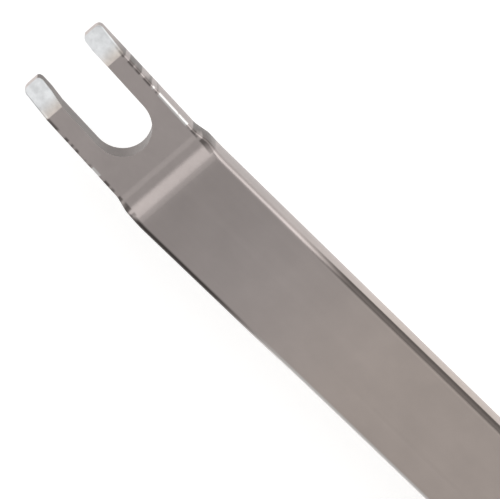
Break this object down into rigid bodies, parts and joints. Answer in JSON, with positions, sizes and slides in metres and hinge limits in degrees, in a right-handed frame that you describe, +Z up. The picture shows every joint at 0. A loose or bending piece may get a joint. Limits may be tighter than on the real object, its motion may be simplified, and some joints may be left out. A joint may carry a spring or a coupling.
{
  "type": "spring bar tool",
  "caption": "Watch strap tool with a flat forked blade and a slim push pin, clamped in collet chucks at opposite ends of a knurled round handle.",
  "frame": {"origin": "on the surface the tool lies on, under its axis and half way along its length", "axes": "+X along the tool from the fork towards the push pin, +Z up from the hexagons' lower flats"},
  "size_m": [0.1462, 0.0114, 0.0099],
  "materials": {
    "blade_steel": "satin, fine lengthwise grain",
    "pin_steel": "polished, turned",
    "barrel_steel": "diamond knurled, with a satin band between",
    "bush_steel": "satin flats, turned ends",
    "nut_steel": "fluted, turned nose",
    "collet_steel": "hardened and tempered, dull",
    "screw_steel": "black oxide, oiled",
    "brass": "turned, slightly tarnished",
    "grip_rubber": "matt moulded"
  },
  "bodies": {
    "root": {"handle_barrel": "barrel_steel", "grip_ring_1": "grip_rubber", "grip_ring_2": "grip_rubber", "grip_ring_3": "grip_rubber", "grip_ring_4": "grip_rubber", "fork_washer": "brass", "fork_bush": "bush_steel", "fork_key_screw": "screw_steel", "fork_stop_screw": "screw_steel", "fork_collet": "collet_steel", "pin_washer": "brass", "pin_bush": "bush_steel", "pin_key_screw": "screw_steel", "pin_stop_screw": "screw_steel", "pin_collet": "collet_steel"},
    "fork_ring": {"fork_closing_ring": "brass"},
    "fork_nut": {"fork_nut": "nut_steel"},
    "fork_tip": {"fork_blade": "blade_steel"},
    "pin_ring": {"pin_closing_ring": "brass"},
    "pin_nut": {"pin_nut": "nut_steel"},
    "pin_tip": {"push_pin": "pin_steel"}
  },
  "joints": [
    {"name": "fork_ring_slide", "type": "slide", "parent": "root", "child": "fork_ring", "axis": [-1, 0, 0], "range_m": [0, 0.006]},
    {"name": "fork_nut_turn", "type": "hinge", "parent": "fork_ring", "child": "fork_nut", "pos_m": [-0.05, 0, 0.00497], "axis": [-1, 0, 0], "range_deg": [0, 4320]},
    {"name": "fork_blade_slide", "type": "slide", "parent": "root", "child": "fork_tip", "axis": [-1, 0, 0], "range_m": [0, 0.018]},
    {"name": "pin_ring_slide", "type": "slide", "parent": "root", "child": "pin_ring", "axis": [1, 0, 0], "range_m": [0, 0.006]},
    {"name": "pin_nut_turn", "type": "hinge", "parent": "pin_ring", "child": "pin_nut", "pos_m": [0.05, 0, 0.00497], "axis": [1, 0, 0], "range_deg": [0, 4320]},
    {"name": "push_pin_slide", "type": "slide", "parent": "root", "child": "pin_tip", "axis": [1, 0, 0], "range_m": [0, 0.018]}
  ],
  "couplings": [
    {"joint": "fork_nut_turn", "follows": "fork_ring_slide", "rad_per_m": 12566},
    {"joint": "pin_nut_turn", "follows": "pin_ring_slide", "rad_per_m": 12566}
  ]
}
